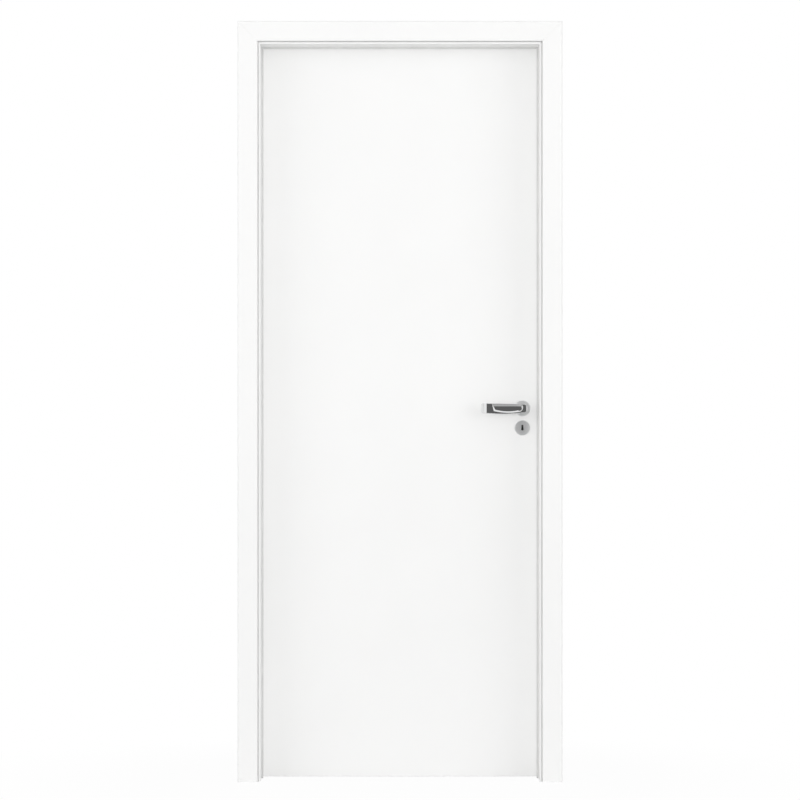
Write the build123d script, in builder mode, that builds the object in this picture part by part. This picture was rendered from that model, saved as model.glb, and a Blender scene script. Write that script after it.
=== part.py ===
"""Prehung flush door: rebated frame, casings, hollow leaf, butt hinges and a lever lock set.

The origin is on the back of the hinge jamb at floor level, on the middle plane of the wall. X runs across
the opening to the strike side, Y through the wall to the side the leaf opens to, and Z runs up.
"""

import os

from build123d import *

os.makedirs("parts", exist_ok=True)

# Leaf: a flush door with two skins on a light frame
LEAF_WIDTH = 820.0
LEAF_HEIGHT = 2100.0
LEAF_THICKNESS = 35.0
SKIN_THICKNESS = 3.0
STILE_WIDTH = 35.0
TOP_RAIL_HEIGHT = 40.0
BOTTOM_RAIL_HEIGHT = 60.0
LEAF_ARRIS = 1.0
UNDERCUT = 5.0

# Frame: jambs and head share one rebated section
JAMB_DEPTH = 140.0
REBATE_THICKNESS = 20.0
STOP_PROJECTION = 20.0
STOP_GAP = 5.0
JAMB_ARRIS = 1.5
QUIRK_WIDTH = 2.0
QUIRK_DEPTH = 8.0
MITRE_GAP = 0.3

# Casings
CASING_THICKNESS = 12.0
CASING_ROUND = 5.0
WALL_COVER = 24.0
FRONT_REVEAL = 7.0
BACK_REVEAL = 7.0

# Seal in a groove of the stop
SEAL_SHOW = 5.0
SEAL_BACK = 14.0
SEAL_GROOVE_WIDTH = 3.0
SEAL_GROOVE_DEPTH = 8.0
SEAL_GROOVE_INSET = 8.0
SEAL_STEM_PLAY = 0.2
SEAL_LEAF_GAP = 0.3
SEAL_ROUND = 1.5

# Hinges: the plates lie flush, so the gap beside the leaf follows from the knuckle
KNUCKLE_RADIUS = 5.0
HINGE_PLATE = 2.0
HINGE_HEIGHT = 89.0
HINGE_WIDTH = 35.0
HINGE_CORNER = 6.0
HINGE_THROW = 7.5
HINGE_PIN_RADIUS = 2.5
HINGE_PIN_PLAY = 0.05
KNUCKLES = 5
KNUCKLE_GAP = 0.4
NOTCH_PLAY = 0.5
PIN_HEAD_RADIUS = 4.2
PIN_HEAD_HEIGHT = 3.0
PIN_HEAD_ROUND = 2.2
MORTISE_PLAY = 0.2
TOP_HINGE_DROP = 200.0
BOTTOM_HINGE_RISE = 240.0

# Lock in the leaf's edge
BACKSET = 60.0
LEVER_HEIGHT = 1058.0
KEY_DROP = 56.0
FACEPLATE_WIDTH = 22.0
FACEPLATE_HEIGHT = 190.0
FACEPLATE_THICKNESS = 2.5
FACEPLATE_CORNER = 3.0
CASE_THICKNESS = 15.0
CASE_DEPTH = 82.0
CASE_HEIGHT = 150.0
CASE_DROP = 26.0
CASE_CORNER = 3.0
CASE_PLAY = 0.2
BOLT_PLAY = 0.2
BOLT_LENGTH = 26.0
LATCH_THICKNESS = 11.0
LATCH_HEIGHT = 19.0
LATCH_PROUD = 0.8
LATCH_BEVEL = 0.7
DEAD_THICKNESS = 9.0
DEAD_HEIGHT = 28.0
DEAD_PROUD = 0.3

# Strike plate on the jamb
STRIKE_WIDTH = 24.0
STRIKE_HEIGHT = 150.0
STRIKE_THICKNESS = 2.0
STRIKE_CORNER = 4.0
STRIKE_LIP_HEIGHT = 44.0
STRIKE_LIP_SETBACK = 2.0
STRIKE_HOLE_MARGIN = 2.0
STRIKE_POCKET_DEPTH = 14.0
STRIKE_POCKET_PLAY = 1.0

# Rose and keyhole escutcheon
ROSE_RADIUS = 22.3
ROSE_DEPTH = 9.0
ROSE_RIM = 6.6
ESCUTCHEON_RADIUS = 21.5
ESCUTCHEON_DEPTH = 7.0
ESCUTCHEON_RIM = 4.2
ESCUTCHEON_BOSS = 13.0
ESCUTCHEON_STEP = 1.2
ESCUTCHEON_CROWN = 1.3
RIM_ROUND = 1.5
KEY_SLOT_WIDTH = 5.6
KEY_SLOT_RISE = 9.0
KEY_SLOT_ROUND = 1.8
KEY_ROUND_RADIUS = 3.6
KEY_ROUND_DROP = 3.4
KEY_PLAY = 0.4

# Lever: a flat grip bent back to the leaf at its tip, with a raised pad on its front
LEVER_PROJECTION = 60.0
LEVER_REACH = 118.0
NECK_RADIUS = 10.5
NECK_PLAY = 0.1
NECK_SEAT = 3.0
HUB_RADIUS = 12.4
HUB_END = 13.8
HUB_FLAT = 0.2
HUB_BLEND = 8.0
GRIP_THICKNESS = 11.0
GRIP_TIP_RISE = 15.0
GRIP_TIP_DROP = 12.0
GRIP_BELLY_DROP = 16.3
GRIP_BELLY_PLACE = 50.0
GRIP_TIP_CORNER = 5.0
GRIP_EDGE = 1.5
ELBOW_ROUND = 6.5
TIP_ROUND = 20.0
TIP_RETURN = 12.0
TIP_INNER_ROUND = 5.0
PAD_RISE = 2.5
PAD_BEVEL = 4.0
PAD_START = 88.0
PAD_HUB_TOP = 10.7
PAD_TIP_TOP = 12.4
PAD_INNER_TOP = 6.0
PAD_LEAN = 5.0
PAD_FOOT = 7.5
PAD_BELLY_DROP = 12.3
PAD_BELLY_PLACE = 46.0
PAD_HEEL_DROP = 9.5
PAD_HEEL_PLACE = 10.0
PAD_NOSE_RISE = 1.5
PAD_NOSE_PLACE = 0.5
PAD_SHOULDER = 3.0
SPINDLE_SIDE = 8.0
SPINDLE_PLAY = 0.05
SPINDLE_SEAT = 22.0
SPINDLE_BORE = 8.0

# Places that follow from the sizes
EDGE_GAP = 2 * (KNUCKLE_RADIUS - HINGE_PLATE)
FRAME_WIDTH = LEAF_WIDTH + 2 * (EDGE_GAP + REBATE_THICKNESS)
FRAME_HEIGHT = UNDERCUT + LEAF_HEIGHT + EDGE_GAP + REBATE_THICKNESS
STOP_FACE = REBATE_THICKNESS + STOP_PROJECTION
JAMB_FRONT = -JAMB_DEPTH / 2
JAMB_BACK = JAMB_DEPTH / 2
LEAF_BACK = JAMB_BACK
LEAF_FRONT = LEAF_BACK - LEAF_THICKNESS
LEAF_MIDDLE = (LEAF_FRONT + LEAF_BACK) / 2
CORE_THICKNESS = LEAF_THICKNESS - 2 * SKIN_THICKNESS
STOP_BACK = LEAF_FRONT - STOP_GAP
LEAF_LEFT = REBATE_THICKNESS + EDGE_GAP
LEAF_RIGHT = LEAF_LEFT + LEAF_WIDTH
LEAF_TOP = UNDERCUT + LEAF_HEIGHT
STRIKE_FACE = LEAF_RIGHT + EDGE_GAP
AXIS_X = REBATE_THICKNESS + EDGE_GAP / 2
AXIS_Y = LEAF_BACK + HINGE_THROW
LEVER_X = LEAF_RIGHT - BACKSET
KEY_HEIGHT = LEVER_HEIGHT - KEY_DROP
CASE_HEIGHT_PLACE = LEVER_HEIGHT - CASE_DROP
BAR_REACH = FRAME_WIDTH + FRAME_HEIGHT
HINGE_HEIGHTS = {
    "top": LEAF_TOP - TOP_HINGE_DROP,
    "middle": (LEAF_TOP - TOP_HINGE_DROP + UNDERCUT + BOTTOM_HINGE_RISE) / 2,
    "bottom": UNDERCUT + BOTTOM_HINGE_RISE,
}
LEAF_MIDDLE_PLANE = Plane(origin=(0, LEAF_MIDDLE, 0), x_dir=(1, 0, 0), z_dir=(0, 1, 0))

# Planes of the frame's sections: the first coordinate runs from a bar's back into the opening, the second
# through the wall
BAR_PLANES = {
    "hinge_side": Plane(origin=(0, 0, 0), x_dir=(1, 0, 0), z_dir=(0, 0, 1)),
    "strike_side": Plane(origin=(FRAME_WIDTH, 0, 0), x_dir=(-1, 0, 0), z_dir=(0, 0, -1)),
    "head": Plane(origin=(0, 0, FRAME_HEIGHT), x_dir=(0, 0, -1), z_dir=(1, 0, 0)),
}
HALF_GAP = MITRE_GAP / 2**0.5
MITRE_APEX = (FRAME_WIDTH / 2, FRAME_HEIGHT - FRAME_WIDTH / 2)
BAR_LIMITS = {
    "hinge_side": [
        (-FRAME_WIDTH, 0),
        (-FRAME_WIDTH, FRAME_HEIGHT + FRAME_WIDTH - HALF_GAP),
        (MITRE_APEX[0], MITRE_APEX[1] - HALF_GAP),
        (MITRE_APEX[0], 0),
    ],
    "strike_side": [
        (2 * FRAME_WIDTH, 0),
        (2 * FRAME_WIDTH, FRAME_HEIGHT + FRAME_WIDTH - HALF_GAP),
        (MITRE_APEX[0], MITRE_APEX[1] - HALF_GAP),
        (MITRE_APEX[0], 0),
    ],
    "head": [
        (-FRAME_WIDTH, FRAME_HEIGHT + FRAME_WIDTH),
        (2 * FRAME_WIDTH, FRAME_HEIGHT + FRAME_WIDTH),
        MITRE_APEX,
    ],
}

GROOVE_NEAR = STOP_FACE - SEAL_GROOVE_INSET
GROOVE_FAR = GROOVE_NEAR - SEAL_GROOVE_WIDTH
FRONT_CASING_EDGE = STOP_FACE - FRONT_REVEAL
JAMB_OUTLINE = [
    (0, JAMB_FRONT),
    (FRONT_CASING_EDGE, JAMB_FRONT),
    (FRONT_CASING_EDGE, JAMB_FRONT + QUIRK_DEPTH),
    (FRONT_CASING_EDGE + QUIRK_WIDTH, JAMB_FRONT + QUIRK_DEPTH),
    (FRONT_CASING_EDGE + QUIRK_WIDTH, JAMB_FRONT),
    (STOP_FACE, JAMB_FRONT),
    (STOP_FACE, STOP_BACK),
    (GROOVE_NEAR, STOP_BACK),
    (GROOVE_NEAR, STOP_BACK - SEAL_GROOVE_DEPTH),
    (GROOVE_FAR, STOP_BACK - SEAL_GROOVE_DEPTH),
    (GROOVE_FAR, STOP_BACK),
    (REBATE_THICKNESS, STOP_BACK),
    (REBATE_THICKNESS, JAMB_BACK),
    (0, JAMB_BACK),
]
JAMB_ROUNDS = [
    ((STOP_FACE, JAMB_FRONT), JAMB_ARRIS),
    ((STOP_FACE, STOP_BACK), JAMB_ARRIS),
    ((REBATE_THICKNESS, JAMB_BACK), JAMB_ARRIS),
]
FRONT_CASING_FACE = JAMB_FRONT - CASING_THICKNESS
FRONT_CASING_OUTLINE = [
    (-WALL_COVER, JAMB_FRONT),
    (-WALL_COVER, FRONT_CASING_FACE),
    (FRONT_CASING_EDGE, FRONT_CASING_FACE),
    (FRONT_CASING_EDGE, JAMB_FRONT),
]
FRONT_CASING_ROUNDS = [
    ((-WALL_COVER, FRONT_CASING_FACE), CASING_ROUND),
    ((FRONT_CASING_EDGE, FRONT_CASING_FACE), CASING_ROUND),
]
BACK_CASING_EDGE = REBATE_THICKNESS - BACK_REVEAL
BACK_CASING_FACE = JAMB_BACK + CASING_THICKNESS
BACK_CASING_OUTLINE = [
    (-WALL_COVER, JAMB_BACK),
    (BACK_CASING_EDGE, JAMB_BACK),
    (BACK_CASING_EDGE, BACK_CASING_FACE),
    (-WALL_COVER, BACK_CASING_FACE),
]
BACK_CASING_ROUNDS = [
    ((-WALL_COVER, BACK_CASING_FACE), CASING_ROUND),
    ((BACK_CASING_EDGE, BACK_CASING_FACE), CASING_ROUND),
]
SEAL_LIP = STOP_FACE + SEAL_SHOW
SEAL_HEEL = STOP_FACE - SEAL_BACK
SEAL_FACE = LEAF_FRONT - SEAL_LEAF_GAP
STEM_TIP = STOP_BACK - SEAL_GROOVE_DEPTH + SEAL_STEM_PLAY
SEAL_OUTLINE = [
    (GROOVE_FAR + SEAL_STEM_PLAY, STEM_TIP),
    (GROOVE_NEAR - SEAL_STEM_PLAY, STEM_TIP),
    (GROOVE_NEAR - SEAL_STEM_PLAY, STOP_BACK),
    (SEAL_LIP, STOP_BACK),
    (SEAL_LIP, SEAL_FACE),
    (SEAL_HEEL, SEAL_FACE),
    (SEAL_HEEL, STOP_BACK),
    (GROOVE_FAR + SEAL_STEM_PLAY, STOP_BACK),
]
SEAL_ROUNDS = [
    ((SEAL_LIP, STOP_BACK), SEAL_ROUND),
    ((SEAL_LIP, SEAL_FACE), SEAL_ROUND),
    ((SEAL_HEEL, SEAL_FACE), SEAL_ROUND),
]


def save(part, node):
    """Name a finished piece and write it as the node's file."""
    part.label = node
    export_step(part, f"parts/{node}.step")


def mitred_bar(outline, rounds, side):
    """A frame bar: its section carried along one side of the opening and mitred at the corners."""
    with BuildPart() as bar:
        with BuildSketch(BAR_PLANES[side]) as section:
            with BuildLine():
                Polyline(*outline, close=True)
            make_face()
            for corner, radius in rounds:
                fillet(section.vertices().sort_by_distance(corner)[0], radius=radius)
        extrude(amount=BAR_REACH, both=True)
        with BuildSketch(Plane.XZ):
            with BuildLine():
                Polyline(*BAR_LIMITS[side], close=True)
            make_face()
        extrude(amount=JAMB_DEPTH, both=True, mode=Mode.INTERSECT)
    return bar.part


def hinge_plate_outline(play):
    """A hinge plate's outline from the pin's line into the joint, with play around it."""
    with BuildSketch() as outline:
        with Locations((-HINGE_WIDTH / 2, 0)):
            Rectangle(HINGE_WIDTH + 2 * play, HINGE_HEIGHT + 2 * play)
        fillet(outline.vertices().group_by(Axis.X)[0], radius=HINGE_CORNER + play)
    return outline.sketch


def edge_plane(x, height):
    """The plane of a hinge plate at a height: its first axis is Y from the pin, its second is Z."""
    return Plane(origin=(x, AXIS_Y, height), x_dir=(0, 1, 0), z_dir=(1, 0, 0))


def lock_plane(x, height):
    """A plane on the leaf's lock edge or the strike, with its first axis along Y and its second along Z."""
    return Plane(origin=(x, LEAF_MIDDLE, height), x_dir=(0, 1, 0), z_dir=(1, 0, 0))


def keyhole_outline(play):
    """The keyhole: a narrow slot above a wider round end, with play around it."""
    with BuildSketch() as outline:
        with Locations((0, KEY_SLOT_RISE / 2)):
            Rectangle(KEY_SLOT_WIDTH + 2 * play, KEY_SLOT_RISE + 2 * play)
        fillet(outline.vertices().group_by(Axis.Y)[-1], radius=KEY_SLOT_ROUND)
        with Locations((0, -KEY_ROUND_DROP)):
            Circle(KEY_ROUND_RADIUS + play)
        with Locations((0, -KEY_ROUND_DROP / 2)):
            Rectangle(KEY_SLOT_WIDTH + 2 * play, KEY_ROUND_DROP)
    return outline.sketch


def front_plane(x, height):
    """A plane on the middle of the leaf, seen from the front: its first axis is X, its second Z."""
    return Plane(origin=(x, LEAF_MIDDLE, height), x_dir=(1, 0, 0), z_dir=(0, -1, 0))


# Frame bars
hinge_bar = mitred_bar(JAMB_OUTLINE, JAMB_ROUNDS, "hinge_side")
strike_bar = mitred_bar(JAMB_OUTLINE, JAMB_ROUNDS, "strike_side")

with BuildPart() as hinge_jamb:
    add(hinge_bar)
    for hinge_height in HINGE_HEIGHTS.values():
        with BuildSketch(edge_plane(REBATE_THICKNESS, hinge_height)):
            add(hinge_plate_outline(MORTISE_PLAY))
        extrude(amount=-HINGE_PLATE, mode=Mode.SUBTRACT)
save(hinge_jamb.part, "hinge_jamb")

LIP_WIDTH = JAMB_BACK - STRIKE_LIP_SETBACK - LEAF_MIDDLE


def strike_outline(play):
    """The strike plate: an upright plate with a lip towards the side the leaf opens to."""
    with BuildSketch() as outline:
        RectangleRounded(STRIKE_WIDTH + 2 * play, STRIKE_HEIGHT + 2 * play, STRIKE_CORNER + play)
        with Locations((LIP_WIDTH / 2, KEY_DROP - CASE_DROP)):
            Rectangle(LIP_WIDTH + 2 * play, STRIKE_LIP_HEIGHT + 2 * play)
    return outline.sketch


BOLTS = {
    "latch": (LEVER_HEIGHT, LATCH_THICKNESS, LATCH_HEIGHT),
    "dead": (KEY_HEIGHT, DEAD_THICKNESS, DEAD_HEIGHT),
}

with BuildPart() as strike_jamb:
    add(strike_bar)
    with BuildSketch(lock_plane(STRIKE_FACE, CASE_HEIGHT_PLACE)):
        add(strike_outline(MORTISE_PLAY))
    extrude(amount=STRIKE_THICKNESS, mode=Mode.SUBTRACT)
    for bolt_height, bolt_thickness, bolt_size in BOLTS.values():
        pocket = 2 * (STRIKE_HOLE_MARGIN + STRIKE_POCKET_PLAY)
        with BuildSketch(lock_plane(STRIKE_FACE, bolt_height)):
            Rectangle(bolt_thickness + pocket, bolt_size + pocket)
        extrude(amount=STRIKE_POCKET_DEPTH, mode=Mode.SUBTRACT)
save(strike_jamb.part, "strike_jamb")

save(mitred_bar(JAMB_OUTLINE, JAMB_ROUNDS, "head"), "head_jamb")

for bar_side in BAR_PLANES:
    save(mitred_bar(FRONT_CASING_OUTLINE, FRONT_CASING_ROUNDS, bar_side), f"front_casing_{bar_side}")
    save(mitred_bar(BACK_CASING_OUTLINE, BACK_CASING_ROUNDS, bar_side), f"back_casing_{bar_side}")
    save(mitred_bar(SEAL_OUTLINE, SEAL_ROUNDS, bar_side), f"seal_{bar_side}")

with BuildPart() as strike_plate:
    with BuildSketch(lock_plane(STRIKE_FACE, CASE_HEIGHT_PLACE)):
        add(strike_outline(0))
    extrude(amount=STRIKE_THICKNESS)
    for bolt_height, bolt_thickness, bolt_size in BOLTS.values():
        with BuildSketch(lock_plane(STRIKE_FACE, bolt_height)):
            Rectangle(bolt_thickness + 2 * STRIKE_HOLE_MARGIN, bolt_size + 2 * STRIKE_HOLE_MARGIN)
        extrude(amount=STRIKE_THICKNESS, mode=Mode.SUBTRACT)
save(strike_plate.part, "strike_plate")

# Hinges
KNUCKLE_PITCH = HINGE_HEIGHT / KNUCKLES
KNUCKLE_LENGTH = KNUCKLE_PITCH - KNUCKLE_GAP
FRAME_KNUCKLES = range(0, KNUCKLES, 2)
DOOR_KNUCKLES = range(1, KNUCKLES, 2)


def knuckle_places(numbers, height):
    """The middles of a hinge's knuckles on the pin's line."""
    bottom = height - HINGE_HEIGHT / 2
    return [(AXIS_X, AXIS_Y, bottom + (number + 0.5) * KNUCKLE_PITCH) for number in numbers]


def hinge_leaf(face_x, reach, own, other, height):
    """A hinge leaf: a plate flush with its face, cut back at the other leaf's knuckles, with its own."""
    with BuildPart() as leaf:
        with BuildSketch(edge_plane(face_x, height)):
            add(hinge_plate_outline(0))
        extrude(amount=reach)
        with Locations(*knuckle_places(other, height)):
            Box(
                2 * KNUCKLE_RADIUS + 2 * NOTCH_PLAY,
                2 * KNUCKLE_RADIUS + 2 * NOTCH_PLAY,
                KNUCKLE_PITCH + KNUCKLE_GAP,
                mode=Mode.SUBTRACT,
            )
        with Locations(*knuckle_places(own, height)):
            Cylinder(KNUCKLE_RADIUS, KNUCKLE_LENGTH)
        with Locations((AXIS_X, AXIS_Y, height)):
            Cylinder(HINGE_PIN_RADIUS + HINGE_PIN_PLAY, HINGE_HEIGHT, mode=Mode.SUBTRACT)
    return leaf.part


def hinge_pin(height):
    """A hinge pin with a domed button at each end."""
    button = (HINGE_HEIGHT + PIN_HEAD_HEIGHT) / 2
    with BuildPart() as pin:
        with Locations((AXIS_X, AXIS_Y, height)):
            Cylinder(HINGE_PIN_RADIUS, HINGE_HEIGHT)
        with Locations((AXIS_X, AXIS_Y, height - button), (AXIS_X, AXIS_Y, height + button)):
            Cylinder(PIN_HEAD_RADIUS, PIN_HEAD_HEIGHT)
        rims = pin.edges().filter_by(GeomType.CIRCLE).sort_by(Axis.Z)
        fillet([rims[0], rims[-1]], radius=PIN_HEAD_ROUND)
    return pin.part


for hinge_name, hinge_height in HINGE_HEIGHTS.items():
    save(
        hinge_leaf(REBATE_THICKNESS, -HINGE_PLATE, FRAME_KNUCKLES, DOOR_KNUCKLES, hinge_height),
        f"hinge_{hinge_name}_frame_leaf",
    )
    save(
        hinge_leaf(LEAF_LEFT, HINGE_PLATE, DOOR_KNUCKLES, FRAME_KNUCKLES, hinge_height),
        f"hinge_{hinge_name}_door_leaf",
    )
    save(hinge_pin(hinge_height), f"hinge_{hinge_name}_pin")

# Leaf
LEAF_CENTRE_X = (LEAF_LEFT + LEAF_RIGHT) / 2
LEAF_CENTRE_Z = (UNDERCUT + LEAF_TOP) / 2


def skin(face_y, inward):
    """A face of the leaf with its holes for the spindle and the key."""
    with BuildPart() as sheet:
        with BuildSketch(Plane(origin=(0, face_y, 0), x_dir=(1, 0, 0), z_dir=(0, -1, 0))):
            with Locations((LEAF_CENTRE_X, LEAF_CENTRE_Z)):
                Rectangle(LEAF_WIDTH, LEAF_HEIGHT)
            with Locations((LEVER_X, LEVER_HEIGHT)):
                Circle(NECK_RADIUS, mode=Mode.SUBTRACT)
            with Locations((LEVER_X, KEY_HEIGHT)):
                add(keyhole_outline(KEY_PLAY), mode=Mode.SUBTRACT)
        extrude(amount=-inward * SKIN_THICKNESS)
        outer = sheet.faces().filter_by(Plane.XZ).sort_by(Axis.Y)[0 if inward > 0 else -1]
        chamfer(outer.outer_wire().edges(), length=LEAF_ARRIS)
    return sheet.part


save(skin(LEAF_FRONT, 1), "front_skin")
back_sheet = skin(LEAF_BACK, -1)

with BuildPart() as back_skin:
    add(back_sheet)
    for hinge_height in HINGE_HEIGHTS.values():
        with BuildSketch(edge_plane(LEAF_LEFT, hinge_height)):
            add(hinge_plate_outline(MORTISE_PLAY))
        extrude(amount=HINGE_PLATE, mode=Mode.SUBTRACT)
save(back_skin.part, "back_skin")

with BuildPart() as hinge_stile:
    with Locations((LEAF_LEFT + STILE_WIDTH / 2, LEAF_MIDDLE, LEAF_CENTRE_Z)):
        Box(STILE_WIDTH, CORE_THICKNESS, LEAF_HEIGHT)
    for hinge_height in HINGE_HEIGHTS.values():
        with BuildSketch(edge_plane(LEAF_LEFT, hinge_height)):
            add(hinge_plate_outline(MORTISE_PLAY))
        extrude(amount=HINGE_PLATE, mode=Mode.SUBTRACT)
save(hinge_stile.part, "hinge_stile")

with BuildPart() as lock_stile:
    with Locations((LEAF_RIGHT - STILE_WIDTH / 2, LEAF_MIDDLE, LEAF_CENTRE_Z)):
        Box(STILE_WIDTH, CORE_THICKNESS, LEAF_HEIGHT)
    with BuildSketch(lock_plane(LEAF_RIGHT, CASE_HEIGHT_PLACE)):
        RectangleRounded(
            FACEPLATE_WIDTH + 2 * MORTISE_PLAY,
            FACEPLATE_HEIGHT + 2 * MORTISE_PLAY,
            FACEPLATE_CORNER + MORTISE_PLAY,
        )
    extrude(amount=-FACEPLATE_THICKNESS, mode=Mode.SUBTRACT)
    with BuildSketch(lock_plane(LEAF_RIGHT, CASE_HEIGHT_PLACE)):
        Rectangle(CASE_THICKNESS + 2 * CASE_PLAY, CASE_HEIGHT + 2 * CASE_PLAY)
    extrude(amount=-STILE_WIDTH, mode=Mode.SUBTRACT)
save(lock_stile.part, "lock_stile")

RAIL_LENGTH = LEAF_WIDTH - 2 * STILE_WIDTH

with BuildPart() as top_rail:
    with Locations((LEAF_CENTRE_X, LEAF_MIDDLE, LEAF_TOP - TOP_RAIL_HEIGHT / 2)):
        Box(RAIL_LENGTH, CORE_THICKNESS, TOP_RAIL_HEIGHT)
save(top_rail.part, "top_rail")

with BuildPart() as bottom_rail:
    with Locations((LEAF_CENTRE_X, LEAF_MIDDLE, UNDERCUT + BOTTOM_RAIL_HEIGHT / 2)):
        Box(RAIL_LENGTH, CORE_THICKNESS, BOTTOM_RAIL_HEIGHT)
save(bottom_rail.part, "bottom_rail")

# Lock
CASE_FRONT = LEAF_RIGHT - FACEPLATE_THICKNESS

with BuildPart() as lock_faceplate:
    with BuildSketch(lock_plane(LEAF_RIGHT, CASE_HEIGHT_PLACE)):
        RectangleRounded(FACEPLATE_WIDTH, FACEPLATE_HEIGHT, FACEPLATE_CORNER)
    extrude(amount=-FACEPLATE_THICKNESS)
    for bolt_height, bolt_thickness, bolt_size in BOLTS.values():
        with BuildSketch(lock_plane(LEAF_RIGHT, bolt_height)):
            Rectangle(bolt_thickness + 2 * BOLT_PLAY, bolt_size + 2 * BOLT_PLAY)
        extrude(amount=-FACEPLATE_THICKNESS, mode=Mode.SUBTRACT)
save(lock_faceplate.part, "lock_faceplate")

with BuildPart() as lock_case:
    with BuildSketch(lock_plane(CASE_FRONT, CASE_HEIGHT_PLACE)):
        Rectangle(CASE_THICKNESS, CASE_HEIGHT)
    extrude(amount=-CASE_DEPTH)
    fillet(lock_case.edges().filter_by(Axis.Y), radius=CASE_CORNER)
    for bolt_height, bolt_thickness, bolt_size in BOLTS.values():
        with BuildSketch(lock_plane(CASE_FRONT, bolt_height)):
            Rectangle(bolt_thickness + 2 * BOLT_PLAY, bolt_size + 2 * BOLT_PLAY)
        extrude(amount=-BOLT_LENGTH, mode=Mode.SUBTRACT)
    with BuildSketch(front_plane(LEVER_X, LEVER_HEIGHT)):
        Circle(SPINDLE_BORE)
    extrude(amount=CASE_THICKNESS, both=True, mode=Mode.SUBTRACT)
    with BuildSketch(front_plane(LEVER_X, KEY_HEIGHT)):
        add(keyhole_outline(KEY_PLAY))
    extrude(amount=CASE_THICKNESS, both=True, mode=Mode.SUBTRACT)
save(lock_case.part, "lock_case")

with BuildPart() as latch_bolt:
    with BuildSketch(lock_plane(LEAF_RIGHT + LATCH_PROUD, LEVER_HEIGHT)):
        Rectangle(LATCH_THICKNESS, LATCH_HEIGHT)
    extrude(amount=-(BOLT_LENGTH + LATCH_PROUD))
    nose = latch_bolt.faces().sort_by(Axis.X)[-1]
    chamfer(nose.edges().sort_by(Axis.Y)[0], length=LATCH_BEVEL, length2=LATCH_THICKNESS - LATCH_BEVEL)
save(latch_bolt.part, "latch_bolt")

with BuildPart() as dead_bolt:
    with BuildSketch(lock_plane(LEAF_RIGHT + DEAD_PROUD, KEY_HEIGHT)):
        Rectangle(DEAD_THICKNESS, DEAD_HEIGHT)
    extrude(amount=-(BOLT_LENGTH + DEAD_PROUD))
save(dead_bolt.part, "dead_bolt")

# Rose and escutcheon: turned, gently domed discs on the leaf's front, mirrored to its back
def disc_plane(height):
    """The section plane of a disc on the front: first the radius, then the depth off the leaf."""
    return Plane(origin=(LEVER_X, LEAF_FRONT, height), x_dir=(1, 0, 0), z_dir=(0, 0, -1))


with BuildPart() as front_rose:
    rose_bore = NECK_RADIUS + NECK_PLAY
    rose_edge = (ROSE_RADIUS, ROSE_RIM)
    with BuildSketch(disc_plane(LEVER_HEIGHT)) as rose_section:
        with BuildLine():
            Polyline((rose_bore, ROSE_DEPTH), (rose_bore, 0), (ROSE_RADIUS, 0), rose_edge)
            TangentArc((rose_bore, ROSE_DEPTH), rose_edge, tangent=(1, 0))
        make_face()
        fillet(rose_section.vertices().sort_by_distance(rose_edge)[0], radius=RIM_ROUND)
    revolve(axis=Axis((LEVER_X, 0, LEVER_HEIGHT), (0, 1, 0)))
save(front_rose.part, "front_rose")

with BuildPart() as front_escutcheon:
    rim_top = ESCUTCHEON_DEPTH - ESCUTCHEON_STEP
    crown_top = ESCUTCHEON_DEPTH + ESCUTCHEON_CROWN
    escutcheon_edge = (ESCUTCHEON_RADIUS, ESCUTCHEON_RIM)
    with BuildSketch(disc_plane(KEY_HEIGHT)) as escutcheon_section:
        with BuildLine():
            Polyline((0, crown_top), (0, 0), (ESCUTCHEON_RADIUS, 0), escutcheon_edge)
            TangentArc((ESCUTCHEON_BOSS, rim_top), escutcheon_edge, tangent=(1, 0))
            Line((ESCUTCHEON_BOSS, rim_top), (ESCUTCHEON_BOSS, ESCUTCHEON_DEPTH))
            TangentArc((0, crown_top), (ESCUTCHEON_BOSS, ESCUTCHEON_DEPTH), tangent=(1, 0))
        make_face()
        fillet(escutcheon_section.vertices().sort_by_distance(escutcheon_edge)[0], radius=RIM_ROUND)
    revolve(axis=Axis((LEVER_X, 0, KEY_HEIGHT), (0, 1, 0)))
    with BuildSketch(front_plane(LEVER_X, KEY_HEIGHT)):
        add(keyhole_outline(0))
    extrude(amount=LEAF_THICKNESS, both=True, mode=Mode.SUBTRACT)
save(front_escutcheon.part, "front_escutcheon")

with BuildPart() as back_rose:
    mirror(front_rose.part, about=LEAF_MIDDLE_PLANE)
save(back_rose.part, "back_rose")

with BuildPart() as back_escutcheon:
    mirror(front_escutcheon.part, about=LEAF_MIDDLE_PLANE)
save(back_escutcheon.part, "back_escutcheon")

# Levers: the side view of the grip met by its plan, a pad lofted on its front, and a round neck
PAD_FACE = LEAF_FRONT - LEVER_PROJECTION
GRIP_FACE = PAD_FACE + PAD_RISE
GRIP_BACK = GRIP_FACE + GRIP_THICKNESS
TIP_X = LEVER_X - LEVER_REACH
HUB_X = LEVER_X + HUB_END - HUB_FLAT
NECK_END = LEAF_FRONT - NECK_SEAT
TIP_END = GRIP_BACK + TIP_RETURN
PLAN_OUTLINE = [
    (HUB_X, GRIP_FACE),
    (TIP_X, GRIP_FACE),
    (TIP_X, TIP_END),
    (TIP_X + GRIP_THICKNESS, TIP_END),
    (TIP_X + GRIP_THICKNESS, GRIP_BACK),
    (HUB_X, GRIP_BACK),
]
PLAN_ROUNDS = [
    ((HUB_X, GRIP_FACE), ELBOW_ROUND),
    ((TIP_X, GRIP_FACE), TIP_ROUND),
    ((TIP_X + GRIP_THICKNESS, GRIP_BACK), TIP_INNER_ROUND),
]


def lever_plane(y):
    """A plane across the lever's axis, seen from the front: its first axis is X, its second Z."""
    return Plane(origin=(LEVER_X, y, LEVER_HEIGHT), x_dir=(1, 0, 0), z_dir=(0, -1, 0))


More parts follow.
